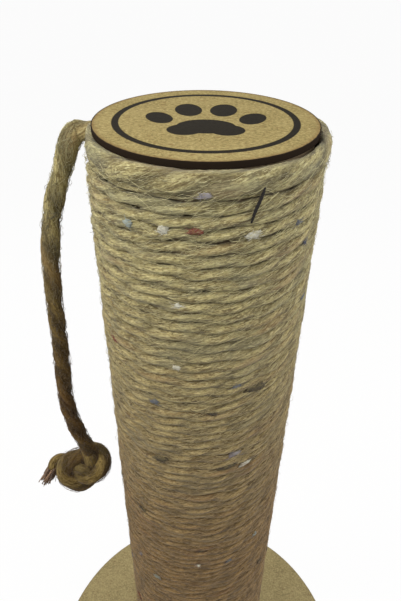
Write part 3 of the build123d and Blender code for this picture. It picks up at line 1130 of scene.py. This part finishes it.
def build_tuft_fibres():
    """Short fibres of each tuft's own colour that stray out of it over the rope around it.

    A fibre goes off in its own direction over the surface by its reach times u, and its
    height above the surface is a small lift times sin(pi u).
    """
    random = np.random.default_rng(97)
    tufts = TUFTS + random_tufts()
    each = 16
    draw = columns(random, each * len(tufts))
    numbers = np.repeat([tuft[:4] for tuft in tufts], each, axis=0)
    angle, below, wide, high = (numbers[:, k : k + 1] for k in range(4))
    tint = np.repeat([TUFT_COLOURS[tuft[4]] for tuft in tufts], each, axis=0)
    u = np.linspace(0, 1, HAIR_STEPS)[None, :]
    heading, reach = draw(0, 2 * np.pi), draw(0.001, 0.0045)
    aside = draw(-0.4, 0.4) * wide + reach * u * np.cos(heading)
    down = draw(-0.4, 0.4) * high + reach * u * np.sin(heading) * 0.55
    spot = surface_place(angle + np.degrees(aside / NEAR_SURFACE), below + down)
    outward = spot * (1, 1, 0) / np.hypot(spot[..., 0], spot[..., 1])[..., None]
    spot = spot + outward * (0.0004 * np.sin(np.pi * u) - 0.0003)[..., None]
    thin = draw(0.00010, 0.00022) * (1 - 0.6 * u)
    across = np.cross(np.gradient(spot, axis=1), outward)
    across /= np.linalg.norm(across, axis=-1, keepdims=True)
    points = hair_points(spot, outward, across, thin)
    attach(hair_piece("tuft_fibres", points, tint), "post")


def build_thread():
    """A stray dark thread that lies across the turns."""
    u = np.linspace(0, 1, 40)
    line = surface_place(23.5 - 4.3 * u + 0.2 * np.sin(7 * u), 0.0095 + 0.0155 * u, 0.0)
    outward = line * (1, 1, 0) / np.linalg.norm(line[:, :2], axis=1)[:, None]
    line = line + outward * (0.0006 * np.sin(np.pi * u) - 0.0001 + 0.0014 * (1 - u) ** 3)[:, None]
    along = u * 0.017
    radius = 0.00080 * (0.4 + 0.6 * np.sin(np.pi * u) ** 0.5)
    made = rope_along(line, along, radius, 0.004, 95, offset=0.2, ply=0.8)
    graph = Graph("dark_thread")
    noise = graph.noise(graph.attribute("fibre"), (900, 3000, 3000))
    shade = graph.mix(noise, (0.004, 0.003, 0.003), (0.025, 0.02, 0.018))
    piece = rope_piece("dark_thread", *made, graph.finish(Base_Color=shade, Roughness=1.0))
    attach(piece, "post")


# Lid

LID_SIDES = 180


def build_lid():
    """The lid as a turned profile: flat faces joined by a rim with slightly eased edges.

    The profile goes from the middle of the underside out, up the rim and back to the middle
    of the face, and is turned round the post's axis.
    """
    ease, low, high, rim = 0.00022, LID_LOW.z, LID_HIGH.z, LID_RADIUS
    quarter = np.linspace(0, np.pi / 2, 4)
    under = np.stack([rim - ease + ease * np.sin(quarter), low + ease - ease * np.cos(quarter)], 1)
    over = np.stack([rim - ease + ease * np.cos(quarter), high - ease + ease * np.sin(quarter)], 1)
    inner = np.array([0.004, 0.02, 0.036, 0.046])
    profile = np.concatenate(
        [
            np.stack([inner, np.full(len(inner), low)], 1),
            under,
            over,
            np.stack([inner[::-1], np.full(len(inner), high)], 1),
        ]
    )
    turn = np.linspace(0, 2 * np.pi, LID_SIDES, endpoint=False)
    points = np.stack(
        [
            profile[:, :1] * np.cos(turn),
            profile[:, :1] * np.sin(turn),
            profile[:, 1:] + 0 * turn,
        ],
        axis=-1,
    )
    quads, fans = ring_faces(len(profile), LID_SIDES)
    piece = make_piece("lid", with_end_points(points), quads, fans, lid_material(), smooth=False)
    faces = piece.data.polygons
    row = np.arange(len(faces)) // LID_SIDES
    rim_rows = (len(inner), len(profile) - len(inner) - 2)
    faces.foreach_set("use_smooth", (row >= rim_rows[0]) & (row <= rim_rows[1]))
    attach(piece, "post")
    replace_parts(piece, "face_disc")


def dress_fittings():
    """Gives the nodes that keep their solid shape their finishes."""
    finishes = {
        "plug_wood": wood_material(),
        "paper_tube": paper_material(),
        "plated_steel": steel_material(),
        "base_board": base_material(),
        "pad_rubber": rubber_material(),
    }
    for row in frame["record"]["subparts"]:
        node, slot = frame["nodes"][row["node"]], row["material_slot"]
        if slot in finishes:
            node.data.materials.clear()
            node.data.materials.append(finishes[slot])


# Stage


def build_stage():
    """White floor, even light and a camera at the photograph's viewing angle."""
    size = 60.0
    mesh = bpy.data.meshes.new("floor")
    mesh.from_pydata(
        [(-size, -size, 0), (size, -size, 0), (size, size, 0), (-size, size, 0)],
        [],
        [(0, 1, 2, 3)],
    )
    floor = bpy.data.objects.new("floor", mesh)
    bpy.context.scene.collection.objects.link(floor)
    graph = Graph("floor_white")
    paths = graph.node("ShaderNodeLightPath", output="Is Camera Ray")
    diffuse = graph.node("ShaderNodeBsdfDiffuse", {}, {"Color": (0.45, 0.45, 0.44, 1)})
    glow = graph.node("ShaderNodeEmission", {}, {"Color": (1, 1, 1, 1), "Strength": 1.08})
    graph.surface(graph.node("ShaderNodeMixShader", {}, (paths * 0.88, diffuse, glow)))
    mesh.materials.append(graph.material)

    world = bpy.data.worlds.new("studio")
    bpy.context.scene.world = world
    world.use_nodes = True
    nodes, links = world.node_tree.nodes, world.node_tree.links
    nodes.clear()
    light, seen = nodes.new("ShaderNodeBackground"), nodes.new("ShaderNodeBackground")
    light.inputs["Color"].default_value = (1, 1, 1, 1)
    light.inputs["Strength"].default_value = 0.31
    seen.inputs["Color"].default_value = (1, 1, 1, 1)
    paths, mix = nodes.new("ShaderNodeLightPath"), nodes.new("ShaderNodeMixShader")
    both = nodes.new("ShaderNodeMath")
    both.operation = "MAXIMUM"
    links.new(paths.outputs["Is Camera Ray"], both.inputs[0])
    links.new(paths.outputs["Is Glossy Ray"], both.inputs[1])
    links.new(both.outputs[0], mix.inputs[0])
    links.new(light.outputs[0], mix.inputs[1])
    links.new(seen.outputs[0], mix.inputs[2])
    links.new(mix.outputs[0], nodes.new("ShaderNodeOutputWorld").inputs["Surface"])

    # Each lamp's name, power in watts, size, place and colour
    for name, power, size, place, tint in [
        ("key", 4.0, 0.35, (-0.58, -0.24, 0.92), (1.0, 0.97, 0.90)),
        ("top", 1.25, 0.50, (-0.02, -0.34, 0.92), (1.0, 1.0, 0.98)),
        ("fill", 5.0, 0.80, (0.80, -0.22, 0.80), (1.0, 0.98, 0.95)),
        ("back", 3.0, 0.80, (-0.20, 1.00, 0.90), (1.0, 1.0, 1.0)),
    ]:
        lamp = bpy.data.lights.new(name, "AREA")
        lamp.energy, lamp.size, lamp.color = power, size, tint
        holder = bpy.data.objects.new(name, lamp)
        holder.location = place
        aim = Vector((0, 0, 0.5)) - Vector(place)
        holder.rotation_euler = aim.to_track_quat("-Z", "Y").to_euler()
        bpy.context.scene.collection.objects.link(holder)

    # The photograph's focal length and height in pixels, and its camera's angles in degrees
    focal, image = 529.8, 601
    pitch, roll, yaw = 35.76, 0.77, 0.16
    lens = bpy.data.cameras.new("camera")
    lens.sensor_width = 36.0
    lens.lens = focal / image * lens.sensor_width
    lens.clip_end = 200
    camera = bpy.data.objects.new("camera", lens)
    camera.matrix_world = (
        Matrix.Translation((-0.00074, -0.24921, LID_HIGH.z + 0.07579))
        @ Matrix.Rotation(math.radians(yaw), 4, "Z")
        @ Matrix.Rotation(math.radians(90 - pitch), 4, "X")
        @ Matrix.Rotation(math.radians(roll), 4, "Z")
    )
    bpy.context.scene.collection.objects.link(camera)
    bpy.context.scene.camera = camera
    bpy.context.scene.view_settings.view_transform = "Standard"


# Operators, one for each piece or group


class POST_OT_stage(bpy.types.Operator):
    """Make the floor, the light and the camera"""

    bl_idname = "post.stage"
    bl_label = "Stage"
    bl_options = {"REGISTER", "UNDO"}

    def execute(self, context):
        build_stage()
        return {"FINISHED"}


class POST_OT_tail(bpy.types.Operator):
    """Make the rope tail with its knot"""

    bl_idname = "post.tail"
    bl_label = "Tail"
    bl_options = {"REGISTER", "UNDO"}

    def execute(self, context):
        build_tail()
        return {"FINISHED"}


class POST_OT_root(bpy.types.Operator):
    """Make the stretch of tail that comes out under the rim"""

    bl_idname = "post.root"
    bl_label = "Tail root"
    bl_options = {"REGISTER", "UNDO"}

    def execute(self, context):
        build_root()
        return {"FINISHED"}


class POST_OT_winding(bpy.types.Operator):
    """Wind the rope round the tube"""

    bl_idname = "post.winding"
    bl_label = "Winding"
    bl_options = {"REGISTER", "UNDO"}

    def execute(self, context):
        build_winding()
        return {"FINISHED"}


class POST_OT_top_turn(bpy.types.Operator):
    """Make the thick turn under the lid"""

    bl_idname = "post.top_turn"
    bl_label = "Top turn"
    bl_options = {"REGISTER", "UNDO"}

    def execute(self, context):
        build_top_turn()
        return {"FINISHED"}


class POST_OT_staples(bpy.types.Operator):
    """Make the staples that hold the top turn"""

    bl_idname = "post.staples"
    bl_label = "Staples"
    bl_options = {"REGISTER", "UNDO"}

    def execute(self, context):
        build_staples()
        return {"FINISHED"}


class POST_OT_fuzz(bpy.types.Operator):
    """Make the loose fibres of the winding"""

    bl_idname = "post.fuzz"
    bl_label = "Loose fibres"
    bl_options = {"REGISTER", "UNDO"}

    def execute(self, context):
        build_fuzz()
        return {"FINISHED"}


class POST_OT_tufts(bpy.types.Operator):
    """Make the coloured tufts in the winding"""

    bl_idname = "post.tufts"
    bl_label = "Coloured tufts"
    bl_options = {"REGISTER", "UNDO"}

    def execute(self, context):
        build_tufts()
        return {"FINISHED"}


class POST_OT_tuft_fibres(bpy.types.Operator):
    """Make the stray fibres of the coloured tufts"""

    bl_idname = "post.tuft_fibres"
    bl_label = "Tuft fibres"
    bl_options = {"REGISTER", "UNDO"}

    def execute(self, context):
        build_tuft_fibres()
        return {"FINISHED"}


class POST_OT_thread(bpy.types.Operator):
    """Lay the dark thread across the turns"""

    bl_idname = "post.thread"
    bl_label = "Dark thread"
    bl_options = {"REGISTER", "UNDO"}

    def execute(self, context):
        build_thread()
        return {"FINISHED"}


class POST_OT_lid(bpy.types.Operator):
    """Make the lid with its printed face"""

    bl_idname = "post.lid"
    bl_label = "Lid"
    bl_options = {"REGISTER", "UNDO"}

    def execute(self, context):
        build_lid()
        return {"FINISHED"}


class POST_OT_fittings(bpy.types.Operator):
    """Give the tube, plugs, base, pads and fixings their finishes"""

    bl_idname = "post.fittings"
    bl_label = "Fittings"
    bl_options = {"REGISTER", "UNDO"}

    def execute(self, context):
        dress_fittings()
        return {"FINISHED"}


OPERATORS = [
    POST_OT_stage,
    POST_OT_tail,
    POST_OT_root,
    POST_OT_winding,
    POST_OT_top_turn,
    POST_OT_staples,
    POST_OT_fuzz,
    POST_OT_tufts,
    POST_OT_tuft_fibres,
    POST_OT_thread,
    POST_OT_lid,
    POST_OT_fittings,
]


class POST_PT_panel(bpy.types.Panel):
    """Lists the post's sizes, colours and pieces."""

    bl_idname = "POST_PT_panel"
    bl_label = "Scratching Post"
    bl_space_type = "VIEW_3D"
    bl_region_type = "UI"
    bl_category = "Scratching Post"

    def draw(self, context):
        for group in (context.scene.post_sizes, context.scene.post_colours):
            box = self.layout.box()
            for key in group.__annotations__:
                box.prop(group, key)
        for operator in OPERATORS:
            self.layout.operator(operator.bl_idname)


CLASSES = [SizeSettings, ColourSettings, *OPERATORS, POST_PT_panel]


def register():
    """Registers the classes and hangs the settings on the scene."""
    for each in CLASSES:
        bpy.utils.register_class(each)
    bpy.types.Scene.post_sizes = bpy.props.PointerProperty(type=SizeSettings)
    bpy.types.Scene.post_colours = bpy.props.PointerProperty(type=ColourSettings)


def unregister():
    """Takes the settings and the classes away again."""
    del bpy.types.Scene.post_colours
    del bpy.types.Scene.post_sizes
    for each in reversed(CLASSES):
        bpy.utils.unregister_class(each)


def main():
    """Makes every piece in order."""
    register()
    for operator in OPERATORS:
        group, name = operator.bl_idname.split(".")
        getattr(getattr(bpy.ops, group), name)()


if __name__ == "__main__":
    main()
